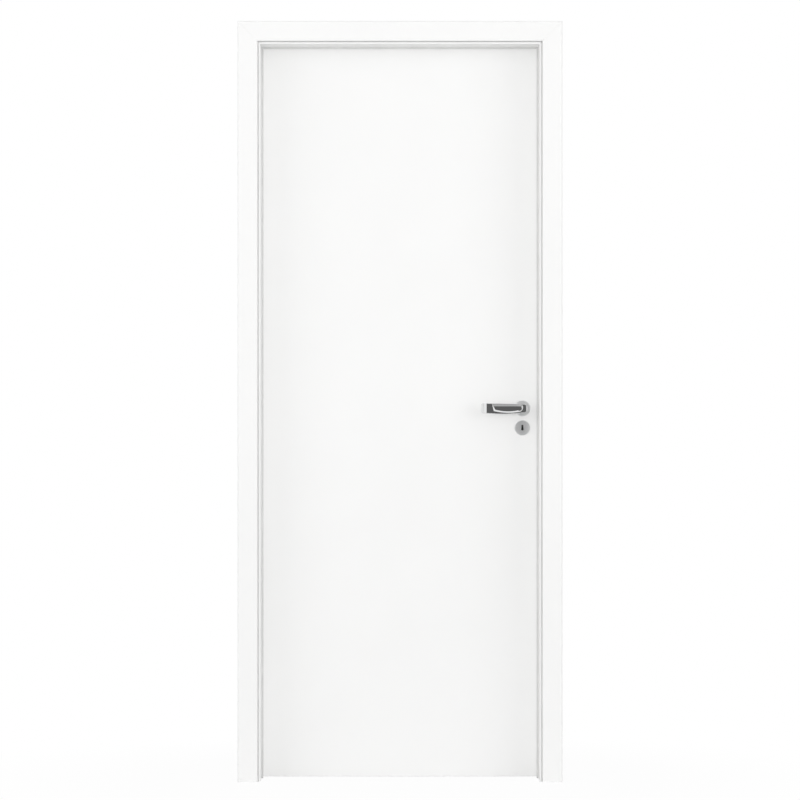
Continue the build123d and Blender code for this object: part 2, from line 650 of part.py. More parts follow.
def pad_outline(inset):
    """The pad on the grip, straight on top and bellied below, taken in by an inset."""
    share = inset / PAD_BEVEL
    hub_top = PAD_HUB_TOP + share * (PAD_INNER_TOP - PAD_HUB_TOP)
    tip_top = PAD_TIP_TOP + share * (PAD_INNER_TOP - PAD_TIP_TOP)
    shoulder = (-PAD_SHOULDER - inset, hub_top)
    foot = (inset - PAD_START + PAD_LEAN, inset - PAD_FOOT)
    heel = (-PAD_HEEL_PLACE - inset, inset - PAD_HEEL_DROP)
    with BuildSketch() as outline:
        with BuildLine():
            Polyline(shoulder, (inset - PAD_START, tip_top), foot)
            ThreePointArc(foot, (-PAD_BELLY_PLACE, inset - PAD_BELLY_DROP), heel)
            ThreePointArc(heel, (PAD_NOSE_PLACE - inset, PAD_NOSE_RISE), shoulder)
        make_face()
    return outline.sketch


with BuildPart() as front_lever:
    with BuildSketch(lever_plane(GRIP_FACE)) as side_view:
        with BuildLine():
            Polyline((0, HUB_RADIUS), (-LEVER_REACH, GRIP_TIP_RISE), (-LEVER_REACH, -GRIP_TIP_DROP))
            ThreePointArc(
                (-LEVER_REACH, -GRIP_TIP_DROP),
                (-GRIP_BELLY_PLACE, -GRIP_BELLY_DROP),
                (0, -HUB_RADIUS),
            )
            ThreePointArc((0, -HUB_RADIUS), (HUB_END, 0), (0, HUB_RADIUS))
        make_face()
        fillet(side_view.vertices().group_by(Axis.X)[0], radius=GRIP_TIP_CORNER)
        fillet(side_view.vertices().group_by(Axis.X)[-1], radius=HUB_BLEND)
    extrude(amount=GRIP_FACE - TIP_END)
    fillet(front_lever.faces().sort_by(Axis.Y)[0].edges(), radius=GRIP_EDGE)
    with BuildSketch(Plane(origin=(0, 0, LEVER_HEIGHT), x_dir=(1, 0, 0), z_dir=(0, 0, 1))) as plan:
        with BuildLine():
            Polyline(*PLAN_OUTLINE, close=True)
        make_face()
        for corner, radius in PLAN_ROUNDS:
            fillet(plan.vertices().sort_by_distance(corner)[0], radius=radius)
    extrude(amount=LEVER_REACH, both=True, mode=Mode.INTERSECT)
    with BuildSketch(lever_plane(GRIP_FACE)):
        add(pad_outline(0))
    with BuildSketch(lever_plane(PAD_FACE)):
        add(pad_outline(PAD_BEVEL))
    loft(ruled=True)
    with BuildSketch(lever_plane(GRIP_BACK)):
        Circle(NECK_RADIUS)
    extrude(amount=GRIP_BACK - NECK_END)
    with BuildSketch(lever_plane(NECK_END)):
        Rectangle(SPINDLE_SIDE + 2 * SPINDLE_PLAY, SPINDLE_SIDE + 2 * SPINDLE_PLAY)
    extrude(amount=SPINDLE_SEAT, mode=Mode.SUBTRACT)
save(front_lever.part, "front_lever")

with BuildPart() as back_lever:
    mirror(front_lever.part, about=LEAF_MIDDLE_PLANE)
save(back_lever.part, "back_lever")

with BuildPart() as lever_spindle:
    with Locations((LEVER_X, LEAF_MIDDLE, LEVER_HEIGHT)):
        Box(SPINDLE_SIDE, LEAF_THICKNESS + 2 * (NECK_SEAT + SPINDLE_SEAT), SPINDLE_SIDE)
save(lever_spindle.part, "lever_spindle")
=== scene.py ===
"""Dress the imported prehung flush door: lacquer, seal, steel, chrome, screws, studio and camera."""

import logging
import math
from dataclasses import dataclass
from enum import Enum

import bpy
import numpy as np
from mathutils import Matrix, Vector


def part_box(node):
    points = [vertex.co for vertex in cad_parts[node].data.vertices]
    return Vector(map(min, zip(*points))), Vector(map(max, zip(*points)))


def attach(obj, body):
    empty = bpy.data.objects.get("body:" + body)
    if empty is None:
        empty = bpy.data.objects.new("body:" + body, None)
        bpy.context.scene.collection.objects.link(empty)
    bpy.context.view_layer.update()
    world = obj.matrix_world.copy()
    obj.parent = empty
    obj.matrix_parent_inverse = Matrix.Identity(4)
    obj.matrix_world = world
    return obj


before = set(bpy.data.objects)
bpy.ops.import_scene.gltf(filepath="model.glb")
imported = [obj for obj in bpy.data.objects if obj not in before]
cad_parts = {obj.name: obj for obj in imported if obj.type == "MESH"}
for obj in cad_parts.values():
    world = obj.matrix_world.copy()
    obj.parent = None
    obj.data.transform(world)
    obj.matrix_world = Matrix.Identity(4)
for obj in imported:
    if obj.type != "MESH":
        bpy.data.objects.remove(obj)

LOG = logging.getLogger("door")
MM = 0.001
GOLDEN_TURN = math.pi * (3.0 - math.sqrt(5.0))
NOISE_LOW, NOISE_HIGH = 0.3, 0.7
WHITE = (1.0, 1.0, 1.0, 1.0)
NO_STRETCH = (1.0, 1.0, 1.0)

Colour = tuple[float, float, float]
Point = tuple[float, float, float]
Span = tuple[float, float]
Socket = bpy.types.NodeSocket


class Run(Enum):
    """The way that brush lines or grain run on a piece, as a stretch of each axis."""

    ACROSS = (0.03, 1.0, 1.0)
    UPRIGHT = (1.0, 1.0, 0.03)


class Side(Enum):
    """The two faces of the leaf."""

    FRONT = "front"
    BACK = "back"


class NodeBoard:
    """A material's node tree, filled one node at a time."""

    def __init__(self, name: str) -> None:
        """Start a material that has only a shader and an output.

        Args:
            name: The material's name.
        """
        self.material = bpy.data.materials.new(name)
        self.material.use_nodes = True
        self.tree = self.material.node_tree
        self.tree.nodes.clear()
        self.shader = self.add("ShaderNodeBsdfPrincipled")
        values = {"Surface": self.shader.outputs["BSDF"]}
        self.output = self.add("ShaderNodeOutputMaterial", values)

    def add(self, kind: str, values: dict | None = None, **settings: object) -> bpy.types.Node:
        """Add a node, with its sockets set or linked.

        Args:
            kind: The node's type.
            values: A value, or an output to link, for each named or numbered input.
            **settings: Properties of the node itself.

        Returns:
            The new node.
        """
        node = self.tree.nodes.new(kind)
        for name, setting in settings.items():
            setattr(node, name, setting)
        for socket, value in (values or {}).items():
            self.feed(node.inputs[socket], value)
        return node

    def feed(self, socket: Socket, value: object) -> None:
        """Link an output to a socket, or set the socket to a plain value.

        Args:
            socket: The input to fill.
            value: An output socket, or a number, colour or vector.
        """
        if isinstance(value, Socket):
            self.tree.links.new(value, socket)
        else:
            socket.default_value = value

    def set(self, **values: object) -> None:
        """Fill the shader's inputs, whose names have spaces where these have underscores."""
        for name, value in values.items():
            self.feed(self.shader.inputs[name.replace("_", " ")], value)

    def surface(self, shader: Socket) -> None:
        """Show this shader in place of the first one."""
        self.feed(self.output.inputs["Surface"], shader)

    def place(self, stretch: Point = NO_STRETCH) -> Socket:
        """Object coordinates, each axis multiplied by its stretch."""
        spot = self.add("ShaderNodeTexCoord").outputs["Object"]
        return self.add("ShaderNodeMapping", {"Vector": spot, "Scale": stretch}).outputs["Vector"]

    def noise(self, size: float, stretch: Point = NO_STRETCH, detail: float = 3.0) -> Socket:
        """Soft noise on Object coordinates.

        Args:
            size: The width of its grains, in metres.
            stretch: A multiplier of each axis before the noise, under 1 to draw it out.
            detail: How many finer layers it has.

        Returns:
            The noise, from 0 to 1.
        """
        values = {"Vector": self.place(stretch), "Scale": 1.0 / size, "Detail": detail}
        return self.add("ShaderNodeTexNoise", values).outputs["Fac"]

    def span(self, share: Socket, low: float, high: float) -> Socket:
        """The middle of a noise's range, spread from low to high."""
        values = {
            "Value": share,
            "From Min": NOISE_LOW,
            "From Max": NOISE_HIGH,
            "To Min": low,
            "To Max": high,
        }
        return self.add("ShaderNodeMapRange", values).outputs["Result"]

    def around(self, share: Socket, middle: float, spread: float) -> Socket:
        """The middle of a noise's range, spread to both sides of a value."""
        return self.span(share, middle - spread, middle + spread)

    def blend(self, share: Socket, first: Colour, second: Colour) -> Socket:
        """A colour between two, by a share from 0 to 1."""
        values = {0: share, 6: (*first, 1.0), 7: (*second, 1.0)}
        return self.add("ShaderNodeMix", values, data_type="RGBA").outputs[2]

    def sum(self, first: Socket, second: Socket, share: float) -> Socket:
        """The first value plus a share of the second."""
        values = {0: second, 1: share, 2: first}
        return self.add("ShaderNodeMath", values, operation="MULTIPLY_ADD").outputs[0]

    def bump(self, height: Socket, depth: float) -> Socket:
        """Normals of a height map that is depth metres deep."""
        values = {"Height": height, "Distance": depth, "Strength": 1.0}
        return self.add("ShaderNodeBump", values).outputs["Normal"]


def toned(colour: Colour, share: float) -> Colour:
    """A colour times a share."""
    return tuple(share * part for part in colour)


@dataclass(frozen=True)
class Lacquer:
    """Sprayed satin lacquer: a drift of tone, an orange peel and faint lines of the board."""

    name: str
    tint: Colour
    run: Run
    drift: float = 0.012
    drift_size: float = 0.45
    roughness: float = 0.42
    gloss_spread: float = 0.07
    smear_size: float = 0.09
    peel_size: float = 0.0035
    peel_depth: float = 0.00005
    line_size: float = 0.0022
    line_share: float = 0.35

    def material(self) -> bpy.types.Material:
        """Tone, gloss, peel and lines, each from its own noise on Object coordinates."""
        board = NodeBoard(self.name)
        broad = board.span(board.noise(self.drift_size), 0.0, 1.0)
        smear = board.noise(self.smear_size)
        peel = board.noise(self.peel_size, detail=2.0)
        lines = board.noise(self.line_size, self.run.value, detail=2.0)
        board.set(
            Base_Color=board.blend(broad, toned(self.tint, 1.0 - self.drift), self.tint),
            Roughness=board.around(smear, self.roughness, self.gloss_spread),
            Normal=board.bump(board.sum(peel, lines, self.line_share), self.peel_depth),
        )
        return board.material


@dataclass(frozen=True)
class Rubber:
    """Soft seal: matt, with a fine grain and a little bloom."""

    name: str
    tint: Colour
    bloom: float = 0.07
    bloom_size: float = 0.03
    grain_size: float = 0.0009
    grain_depth: float = 0.00008
    roughness: float = 0.62
    gloss_spread: float = 0.06

    def material(self) -> bpy.types.Material:
        """Tone from a soft noise, and gloss and bump from a fine one."""
        board = NodeBoard(self.name)
        bloom = board.span(board.noise(self.bloom_size), 0.0, 1.0)
        grain = board.noise(self.grain_size, detail=2.0)
        board.set(
            Base_Color=board.blend(bloom, toned(self.tint, 1.0 - self.bloom), self.tint),
            Roughness=board.around(grain, self.roughness, self.gloss_spread),
            Normal=board.bump(grain, self.grain_depth),
        )
        return board.material


@dataclass(frozen=True)
class Brushed:
    """Satin steel, brushed one way, with rubbed and duller patches."""

    name: str
    tint: Colour
    run: Run
    roughness: float = 0.3
    gloss_spread: float = 0.08
    line_size: float = 0.0005
    line_depth: float = 0.00002
    patch_size: float = 0.012
    patch_tone: float = 0.12

    def material(self) -> bpy.types.Material:
        """Gloss and bump from noise drawn out along the brushing, and tone from soft patches."""
        board = NodeBoard(self.name)
        lines = board.noise(self.line_size, self.run.value, detail=4.0)
        patch = board.span(board.noise(self.patch_size), 0.0, 1.0)
        board.set(
            Base_Color=board.blend(patch, toned(self.tint, 1.0 - self.patch_tone), self.tint),
            Metallic=1.0,
            Roughness=board.around(lines, self.roughness, self.gloss_spread),
            Normal=board.bump(lines, self.line_depth),
        )
        return board.material


@dataclass(frozen=True)
class Galvanised:
    """Zinc plate, with the crystal patches of hot dipping."""

    name: str
    tint: Colour
    crystal: float = 0.006
    tone: float = 0.25
    roughness: float = 0.45
    gloss_spread: float = 0.1
    grain_size: float = 0.00075
    grain_depth: float = 0.00003

    def material(self) -> bpy.types.Material:
        """Each cell of a cell pattern has a tone and a gloss of its own."""
        board = NodeBoard(self.name)
        values = {"Vector": board.place(), "Scale": 1.0 / self.crystal}
        cell = board.add("ShaderNodeTexVoronoi", values).outputs["Color"]
        share = board.add("ShaderNodeRGBToBW", {"Color": cell}).outputs[0]
        board.set(
            Base_Color=board.blend(share, toned(self.tint, 1.0 - self.tone), self.tint),
            Metallic=1.0,
            Roughness=board.around(share, self.roughness, self.gloss_spread),
            Normal=board.bump(board.noise(self.grain_size), self.grain_depth),
        )
        return board.material


@dataclass(frozen=True)
class Chrome:
    """Polished chrome: a mirror with faint finger smears and hair scratches."""

    name: str
    tint: Colour
    roughness: float = 0.05
    smear: float = 0.05
    smear_size: float = 0.02
    smear_tone: float = 0.96
    hair_size: float = 0.0004
    hair_depth: float = 0.000002

    def material(self) -> bpy.types.Material:
        """Gloss from a soft noise, a lower tone in the smears, bump from drawn-out hairs."""
        board = NodeBoard(self.name)
        smear = board.span(board.noise(self.smear_size), 0.0, 1.0)
        hairs = board.noise(self.hair_size, Run.ACROSS.value, detail=2.0)
        board.set(
            Base_Color=board.blend(smear, self.tint, toned(self.tint, self.smear_tone)),
            Metallic=1.0,
            Roughness=board.span(smear, self.roughness, self.roughness + self.smear),
            Normal=board.bump(hairs, self.hair_depth),
        )
        return board.material


LEAF_LACQUER = Lacquer("leaf_lacquer", (0.93, 0.93, 0.925), Run.UPRIGHT)
EDGE_LACQUER = Lacquer("edge_lacquer", (0.915, 0.913, 0.905), Run.UPRIGHT, line_share=0.8)
JAMB_LACQUER = Lacquer("jamb_lacquer", (0.93, 0.93, 0.925), Run.UPRIGHT, line_share=0.6)
HEAD_LACQUER = Lacquer("head_lacquer", (0.93, 0.93, 0.925), Run.ACROSS, line_share=0.6)
SEAL_RUBBER = Rubber("seal_rubber_soft", (0.72, 0.72, 0.715))
HINGE_STEEL = Brushed("hinge_satin_steel", (0.63, 0.62, 0.6), Run.UPRIGHT)
LOCK_STEEL = Brushed("lock_nickelled_steel", (0.66, 0.65, 0.62), Run.UPRIGHT, roughness=0.24)
SCREW_STEEL = Brushed("screw_steel", (0.6, 0.6, 0.58), Run.ACROSS, roughness=0.22)
# The lock levers' steel is toned near black: painted shade inside the keyhole, on real levers.
LEVER_PLATE_PAINTED_SHADE_STEEL = Brushed(
    "lever_plate_steel_painted_shade", (0.16, 0.155, 0.15), Run.UPRIGHT, roughness=0.45
)
CASE_ZINC = Galvanised("case_zinc", (0.55, 0.56, 0.57))
LEVER_CHROME = Chrome("lever_chrome", (0.8, 0.805, 0.81))
DISC_CHROME = Chrome("disc_chrome", (0.88, 0.885, 0.89), roughness=0.6, smear=0.06)


def dress(node: str, material: bpy.types.Material) -> None:
    """Put a finish on a node of the frame, in place of its plain one.

    Args:
        node: The node's name.
        material: The finish.
    """
    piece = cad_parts[node]
    for holder in piece.material_slots:
        holder.material = material
    LOG.info("dressed %s in %s", node, material.name)


def mesh_piece(
    name: str, points: np.ndarray, faces: list, material: bpy.types.Material, smooth: bool = True
) -> bpy.types.Object:
    """Make a mesh piece that sits at the origin.

    Args:
        name: The piece's name.
        points: Its vertices, in metres, one in each row.
        faces: The vertex numbers of each face, turned outwards.
        material: Its finish.
        smooth: Whether its faces are shaded as one curved surface.

    Returns:
        The new object.
    """
    mesh = bpy.data.meshes.new(name)
    mesh.from_pydata(points.tolist(), [], faces)
    mesh.polygons.foreach_set("use_smooth", np.full(len(mesh.polygons), smooth))
    mesh.materials.append(material)
    mesh.update()
    piece = bpy.data.objects.new(name, mesh)
    bpy.context.scene.collection.objects.link(piece)
    return piece


def ring_faces(rings: int, steps: int, copies: int) -> list:
    """Number the faces of closed rings between two poles, for several copies of the shape.

    A copy's vertices are the first pole, then the rings in order, then the last pole. A quad
    joins each step of a ring to the same step of the next ring, and a fan of triangles closes
    each pole. Each copy's numbers follow on from the copy before.

    Args:
        rings: How many rings a copy has.
        steps: How many vertices a ring has.
        copies: How many copies there are.

    Returns:
        The vertex numbers of each face, the quads first.
    """
    step = np.arange(steps)
    after = np.roll(step, -1)
    row = 1 + steps * np.arange(rings - 1)[:, None]
    far = row + steps
    quads = np.stack([row + step, far + step, far + after, row + after], axis=-1).reshape(-1, 4)
    last = 1 + steps * (rings - 1)
    first_fan = np.stack([np.zeros_like(step), 1 + step, 1 + after], axis=-1)
    last_fan = np.stack([np.full_like(step, last + steps), last + after, last + step], axis=-1)
    fans = np.concatenate([first_fan, last_fan])
    shift = (steps * rings + 2) * np.arange(copies)[:, None, None]
    return (quads + shift).reshape(-1, 4).tolist() + (fans + shift).reshape(-1, 3).tolist()


@dataclass
class ScrewSet:
    """Raised countersunk screws with a cross recess, in a row on one plate."""

    name: str
    body: str
    slot: str
    normal: Point
    places: list[Point]
    finish: bpy.types.Material
    radius: float = 3.5 * MM
    rise: float = 0.75 * MM
    rim: float = 0.12 * MM
    root: float = 0.3 * MM
    arm_width: float = 0.55 * MM
    arm_reach: float = 1.9 * MM
    recess_floor: float = 0.12 * MM
    soft: float = 0.16 * MM
    rings: int = 22
    steps: int = 64

    def head(self) -> np.ndarray:
        """One head, on a grid of radius by angle.

        The height is the rim plus the rise times one minus the square of the radius share.
        Where the cross is, whose mask is a clipped ramp across each arm and at its end, the
        height drops to the recess floor.

        Returns:
            The rings from the crown to the root, as ring by step by (across, along, up).
        """
        share = np.linspace(0.0, 1.0, self.rings + 1)[1:, None]
        angle = np.linspace(0.0, 2.0 * np.pi, self.steps, endpoint=False)[None, :]
        across = self.radius * share * np.cos(angle)
        along = self.radius * share * np.sin(angle)
        crown = self.rim + self.rise * (1.0 - share**2) * np.ones_like(angle)
        narrow = np.minimum(np.abs(across), np.abs(along))
        far = np.maximum(np.abs(across), np.abs(along))
        mask = np.clip((self.arm_width - narrow) / self.soft, 0.0, 1.0)
        mask = mask * np.clip((self.arm_reach - far) / self.soft, 0.0, 1.0)
        up = crown * (1.0 - mask) + self.recess_floor * mask
        top = np.stack([across, along, up], axis=-1)
        foot = top[-1:].copy()
        foot[..., 2] = -self.root
        return np.concatenate([top, foot])

    def build(self) -> None:
        """Set a head at each place, each turned by its own angle, with the plate's normal up."""
        rings = self.head()
        poles = np.array([[0.0, 0.0, self.recess_floor], [0.0, 0.0, -self.root]])
        single = np.concatenate([poles[:1], rings.reshape(-1, 3), poles[1:]])
        count = len(self.places)
        turn = GOLDEN_TURN * np.arange(count)[:, None]
        across = single[:, 0] * np.cos(turn) - single[:, 1] * np.sin(turn)
        along = single[:, 0] * np.sin(turn) + single[:, 1] * np.cos(turn)
        normal = np.array(self.normal)
        upright = np.array([0.0, 0.0, 1.0])
        sideways = np.cross(upright, normal)
        flat = across[..., None] * sideways + along[..., None] * upright
        offset = flat + single[:, 2, None] * normal
        points = (np.array(self.places)[:, None, :] + offset).reshape(-1, 3)
        faces = ring_faces(len(rings), self.steps, count)
        piece = mesh_piece(self.name, points, faces, self.finish)
        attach(piece, self.body)
        LOG.info("built %s with %d heads", self.name, count)


@dataclass
class DoorFrame:
    """Jambs, head, casings on both sides and the seal in the stop."""

    sides: tuple[str, ...] = ("hinge_side", "strike_side")

    def dress(self) -> None:
        """Lacquer the bars along their own run and finish the seal."""
        upright, level = JAMB_LACQUER.material(), HEAD_LACQUER.material()
        rubber = SEAL_RUBBER.material()
        for node in ("hinge_jamb", "strike_jamb"):
            dress(node, upright)
        dress("head_jamb", level)
        for face in Side:
            for side in self.sides:
                dress(f"{face.value}_casing_{side}", upright)
            dress(f"{face.value}_casing_head", level)
        for side in (*self.sides, "head"):
            dress(f"seal_{side}", rubber)


@dataclass
class Hinges:
    """Three butt hinges, with three screws in each plate."""

    heights: tuple[str, ...] = ("top", "middle", "bottom")
    plate: float = 2.0 * MM
    outer_line: float = 8.0 * MM
    inner_line: float = 18.0 * MM
    screw_pitch: float = 31.0 * MM

    def dress(self) -> None:
        """Give the plates and pins their satin steel."""
        steel = HINGE_STEEL.material()
        for height in self.heights:
            for part in ("frame_leaf", "door_leaf", "pin"):
                dress(f"hinge_{height}_{part}", steel)

    def screw_places(self, node: str, face: float) -> list[Point]:
        """Three places in a zigzag on a plate.

        Args:
            node: The hinge leaf.
            face: Where the plate's face is along X.

        Returns:
            The places, from the bottom up.
        """
        low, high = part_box(node)
        middle = (low.z + high.z) / 2.0
        rows = ((-1, self.inner_line), (0, self.outer_line), (1, self.inner_line))
        return [(face, low.y + line, middle + step * self.screw_pitch) for step, line in rows]

    def build(self, finish: bpy.types.Material) -> None:
        """Screw the plates to the jamb and to the leaf.

        Args:
            finish: The screws' finish.
        """
        for height in self.heights:
            node = f"hinge_{height}_frame_leaf"
            places = self.screw_places(node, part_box(node)[0].x + self.plate)
            name = f"hinge_{height}_frame_screws"
            ScrewSet(name, "frame", "hinge_steel", (1, 0, 0), places, finish).build()
            node = f"hinge_{height}_door_leaf"
            places = self.screw_places(node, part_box(node)[1].x - self.plate)
            name = f"hinge_{height}_door_screws"
            ScrewSet(name, "door", "hinge_steel", (-1, 0, 0), places, finish).build()


@dataclass
class Leaf:
    """The hollow leaf: two skins on stiles and rails."""

    edges: tuple[str, ...] = ("hinge_stile", "lock_stile", "top_rail", "bottom_rail")

    def dress(self) -> None:
        """Lacquer the faces and the edges."""
        face, edge = LEAF_LACQUER.material(), EDGE_LACQUER.material()
        for side in Side:
            dress(f"{side.value}_skin", face)
        for node in self.edges:
            dress(node, edge)


@dataclass
class Lock:
    """The lock in the leaf's edge and its strike plate on the jamb."""

    faceplate_inset: float = 9.0 * MM
    strike_inset: float = 8.0 * MM
    lever_plates: int = 4
    lever_thickness: float = 1.4 * MM
    lever_pitch: float = 1.9 * MM
    lever_half_width: float = 6.0 * MM
    lever_half_height: float = 11.0 * MM
    lever_steps: int = 48

    def dress(self) -> None:
        """Nickel on what shows, zinc on the case."""
        nickel, zinc = LOCK_STEEL.material(), CASE_ZINC.material()
        for node in ("lock_faceplate", "latch_bolt", "dead_bolt", "strike_plate"):
            dress(node, nickel)
        for node in ("lock_case", "lever_spindle"):
            dress(node, zinc)

    def build(self, finish: bpy.types.Material) -> None:
        """Screw on the faceplate and the strike plate at their ends, and set in the lock's levers.

        Args:
            finish: The screws' finish.
        """
        low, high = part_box("lock_faceplate")
        middle = (low.y + high.y) / 2.0
        ends = (low.z + self.faceplate_inset, high.z - self.faceplate_inset)
        places = [(high.x, middle, end) for end in ends]
        ScrewSet("faceplate_screws", "door", "lock_steel", (1, 0, 0), places, finish).build()
        low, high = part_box("strike_plate")
        ends = (low.z + self.strike_inset, high.z - self.strike_inset)
        places = [(low.x, middle, end) for end in ends]
        ScrewSet("strike_screws", "frame", "lock_steel", (-1, 0, 0), places, finish).build()
        self.build_levers()

    def build_levers(self) -> None:
        """The lock's own thin levers, which stand behind the keyhole in the middle of the case;
        their steel is toned far darker than real steel, as painted shade so the keyhole reads black.

        Each is a plate whose outline is a superellipse of the fourth power: the half width and
        half height times the signed square root of the cosine and of the sine of the angle. A
        fan closes each face.
        """
        low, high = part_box("front_escutcheon")
        case_low, case_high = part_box("lock_case")
        centre = np.array([low.x + high.x, case_low.y + case_high.y, low.z + high.z]) / 2.0
        angle = np.linspace(0.0, 2.0 * np.pi, self.lever_steps, endpoint=False)
        wide, tall = np.cos(angle), np.sin(angle)
        across = self.lever_half_width * np.sign(wide) * np.sqrt(np.abs(wide))
        along = self.lever_half_height * np.sign(tall) * np.sqrt(np.abs(tall))
        half = self.lever_thickness / 2.0
        depth = np.full_like(angle, half)
        front = np.stack([across, -depth, along], axis=-1)
        back = np.stack([across, depth, along], axis=-1)
        poles = np.array([[0.0, -half, 0.0], [0.0, half, 0.0]])
        single = np.concatenate([poles[:1], front, back, poles[1:]])
        order = np.arange(self.lever_plates) - (self.lever_plates - 1) / 2.0
        step = order[:, None, None] * np.array([0.0, self.lever_pitch, 0.0])
        points = (centre + single + step).reshape(-1, 3)
        faces = ring_faces(2, self.lever_steps, self.lever_plates)
        # Near-black steel: painted shade that the keyhole shows.
        finish = LEVER_PLATE_PAINTED_SHADE_STEEL.material()
        piece = mesh_piece("lock_levers", points, faces, finish, smooth=False)
        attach(piece, "door")
        LOG.info("built lock_levers with %d plates", self.lever_plates)


@dataclass
class HandleSet:
    """Levers, roses and escutcheons on both faces."""

    discs: tuple[str, ...] = ("rose", "escutcheon")

    def dress(self) -> None:
        """Polish the levers, and give the discs a softer shine."""
        bright, soft = LEVER_CHROME.material(), DISC_CHROME.material()
        for side in Side:
            dress(f"{side.value}_lever", bright)
            for part in self.discs:
                dress(f"{side.value}_{part}", soft)


@dataclass
class Studio:
    """A white floor, a white surround, soft lamps, glowing grey cards that paint reflections on the
    chrome, and the camera.
    """

    camera_place: Point = (0.436, -10.6, 1.082)
    focal_pixels: float = 3716.0
    image_pixels: float = 800.0
    sensor: float = 36.0
    sight: float = 100.0
    floor_half: float = 20.0
    floor_tone: float = 0.65
    floor_roughness: float = 0.9
    surround: float = 0.665
    white_share: float = 0.965
    shadow_centre: Point = (0.436, 0.0, 0.0)
    shadow_reach: float = 0.7
    shadow_end: float = 1.4
    lamp_size: float = 5.0
    lamp_aim: Point = (0.436, 0.0, 1.2)
    right_place: Point = (6.4, -5.0, 1.9)
    right_power: float = 120.0
    left_place: Point = (-5.5, -5.0, 1.9)
    left_power: float = 110.0
    front_place: Point = (0.436, -9.0, 1.3)
    front_power: float = 186.0
    front_size: float = 1.5
    card_centre: Point = (0.786, 0.0, 1.06)
    card_radius: float = 3.0
    card_steps: int = 24
    # Glowing cards seen only in mirrors: painted reflections on the chrome, round the handle, to its
    # side and on the floor in front.
    front_reflection_card: tuple[Span, Span] = ((-32.0, 57.0), (-20.0, 66.0))
    side_reflection_card: tuple[Span, Span] = ((71.0, 125.0), (-20.0, 40.0))
    floor_reflection_card: tuple[Span, Span] = ((-0.8, 2.4), (-3.0, -1.1))
    ground_height: float = 4.0 * MM
    # Painted reflection tones by height share: dark glow at the handle's level, lighter above, white
    # at the top.
    reflection_tones: tuple[Span, ...] = (
        (0.33, 0.13),
        (0.53, 0.13),
        (0.66, 0.32),
        (0.8, 0.45),
        (0.9, 0.5),
        (0.95, 1.0),
    )

    def seen_rays(self, tree: bpy.types.NodeTree) -> Socket:
        """One where a ray comes from the camera, a mirror or glass, and else nought."""
        path = tree.nodes.new("ShaderNodeLightPath")
        seen = path.outputs["Is Camera Ray"]
        for name in ("Is Glossy Ray", "Is Transmission Ray"):
            both = tree.nodes.new("ShaderNodeMath")
            both.operation = "MAXIMUM"
            tree.links.new(seen, both.inputs[0])
            tree.links.new(path.outputs[name], both.inputs[1])
            seen = both.outputs[0]
        return seen

    def world(self) -> None:
        """White to the eye and in mirrors, and a plain level of light on the door."""
        world = bpy.data.worlds.new("surround")
        bpy.context.scene.world = world
        world.use_nodes = True
        tree = world.node_tree
        tree.nodes.clear()
        mix = tree.nodes.new("ShaderNodeMixShader")
        tree.links.new(self.seen_rays(tree), mix.inputs[0])
        for socket, strength in ((1, self.surround), (2, 1.0)):
            glow = tree.nodes.new("ShaderNodeBackground")
            glow.inputs["Color"].default_value = WHITE
            glow.inputs["Strength"].default_value = strength
            tree.links.new(glow.outputs[0], mix.inputs[socket])
        output = tree.nodes.new("ShaderNodeOutputWorld")
        tree.links.new(mix.outputs[0], output.inputs["Surface"])

    def floor(self) -> None:
        """A wide white floor at the door's foot, which keeps a faint shadow."""
        board = NodeBoard("studio_floor")
        tone = self.floor_tone
        board.set(Base_Color=(tone, tone, tone, 1.0), Roughness=self.floor_roughness)
        glow = board.add("ShaderNodeEmission", {"Color": WHITE, "Strength": 1.0})
        values = {0: board.place(), 1: self.shadow_centre}
        away = board.add("ShaderNodeVectorMath", values, operation="DISTANCE")
        values = {
            "Value": away.outputs["Value"],
            "From Min": self.shadow_reach,
            "From Max": self.shadow_end,
            "To Min": self.white_share,
            "To Max": 1.0,
        }
        fade = board.add("ShaderNodeMapRange", values).outputs["Result"]
        values = {0: self.seen_rays(board.tree), 1: fade}
        share = board.add("ShaderNodeMath", values, operation="MULTIPLY").outputs[0]
        values = {0: share, 1: board.shader.outputs["BSDF"], 2: glow.outputs[0]}
        board.surface(board.add("ShaderNodeMixShader", values).outputs[0])
        corner = self.floor_half * np.array([[-1, -1, 0], [1, -1, 0], [1, 1, 0], [-1, 1, 0]])
        mesh_piece("floor", corner, [[0, 1, 2, 3]], board.material)

    def lamp(self, name: str, place: Point, size: float, power: float, mirrored: bool) -> None:
        """A square soft lamp, turned to the upper middle of the door.

        Args:
            name: The lamp's name.
            place: Where it stands.
            size: Its side.
            power: Its power in watts.
            mirrored: Whether mirrors show it.
        """
        light = bpy.data.lights.new(name, "AREA")
        light.shape = "SQUARE"
        light.size = size
        light.energy = power
        lamp = bpy.data.objects.new(name, light)
        bpy.context.scene.collection.objects.link(lamp)
        lamp.location = place
        away = Vector(place) - Vector(self.lamp_aim)
        lamp.rotation_euler = away.to_track_quat("Z", "Y").to_euler()
        lamp.visible_glossy = mirrored

    def painted_reflection_finish(self) -> bpy.types.Material:
        """A glowing grey whose tone follows the height, dark at the level of the handle: a painted
        reflection that only mirrors show, not a lamp.
        """
        board = NodeBoard("studio_painted_reflection")
        spot = board.add("ShaderNodeSeparateXYZ", {"Vector": board.place()}).outputs["Z"]
        low = self.card_centre[2] - self.card_radius
        high = self.card_centre[2] + self.card_radius
        values = {"Value": spot, "From Min": low, "From Max": high}
        share = board.add("ShaderNodeMapRange", values).outputs["Result"]
        ramp = board.add("ShaderNodeValToRGB", {"Fac": share})
        stops = ramp.color_ramp.elements
        for place, _ in self.reflection_tones[len(stops):]:
            stops.new(place)
        for stop, (place, tone) in zip(stops, self.reflection_tones):
            stop.position = place
            stop.color = (tone, tone, tone, 1.0)
        values = {"Color": ramp.outputs["Color"], "Strength": 1.0}
        board.surface(board.add("ShaderNodeEmission", values).outputs[0])
        return board.material

